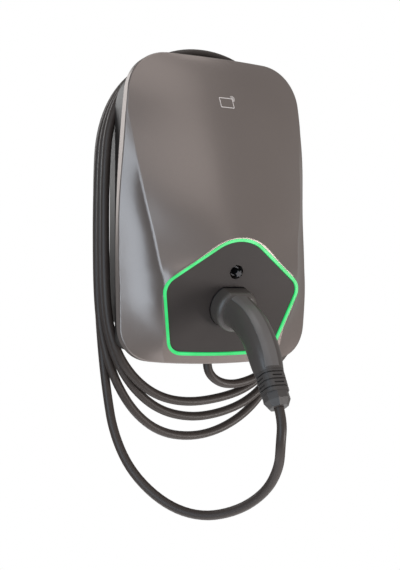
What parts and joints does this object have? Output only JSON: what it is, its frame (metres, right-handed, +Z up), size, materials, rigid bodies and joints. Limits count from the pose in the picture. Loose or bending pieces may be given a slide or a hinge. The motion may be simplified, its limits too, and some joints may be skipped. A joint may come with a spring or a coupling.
{
  "type": "ev wallbox",
  "caption": "Wall-mounted car charger: sculpted cover with a lit ring round a sloped panel, plug parked in its holster, cable coiled round the housing.",
  "frame": {"origin": "centre of the four wall screws, on the wall's plane, level with the middle of the cover", "axes": "+Z up, +Y into the wall, the front faces -Y, +X to the viewer's right"},
  "size_m": [0.3021, 0.2555, 0.6169],
  "materials": {
    "wall_plate": "brushed",
    "housing_screws": "bright",
    "rear_housing": "gloss",
    "front_frame": "gloss",
    "cover_gasket": "matt",
    "cover_screws": "bright",
    "front_cover": "satin metallic",
    "light_guide": "glowing",
    "led_board": "satin",
    "fascia_panel": "fine texture",
    "lock_screw": "satin",
    "lock_nut": "satin",
    "holster": "matt",
    "main_board": "satin",
    "board_screws": "bright",
    "power_relays": "satin",
    "power_supply": "matt",
    "leak_sensor": "satin",
    "terminal_block": "matt",
    "card_reader": "satin",
    "gland_body": "satin",
    "gland_locknut": "satin",
    "gland_cap": "satin",
    "gland_seal": "matt",
    "supply_grommet": "matt",
    "plug_nose": "fine texture",
    "contact_carrier": "satin",
    "plug_contacts": "bright",
    "plug_body": "fine texture",
    "grip_inlay": "satin",
    "strain_relief": "matt",
    "relief_cap": "satin",
    "charging_cable": "satin"
  },
  "bodies": {
    "root": {"wall_plate": "wall_plate", "housing_screws": "housing_screws", "rear_housing": "rear_housing", "front_frame": "front_frame", "cover_gasket": "cover_gasket", "cover_screws": "cover_screws", "front_cover": "front_cover", "light_guide": "light_guide", "led_board": "led_board", "fascia_panel": "fascia_panel", "lock_screw": "lock_screw", "lock_nut": "lock_nut", "holster": "holster", "main_board": "main_board", "board_screws": "board_screws", "power_relays": "power_relays", "power_supply": "power_supply", "leak_sensor": "leak_sensor", "terminal_block": "terminal_block", "card_reader": "card_reader", "gland_body": "gland_body", "gland_locknut": "gland_locknut", "gland_cap": "gland_cap", "gland_seal": "gland_seal", "supply_grommet": "supply_grommet", "plug_nose": "plug_nose", "contact_carrier": "contact_carrier", "plug_contacts": "plug_contacts", "plug_body": "plug_body", "grip_inlay": "grip_inlay", "strain_relief": "strain_relief", "relief_cap": "relief_cap", "charging_cable": "charging_cable"}
  },
  "joints": []
}
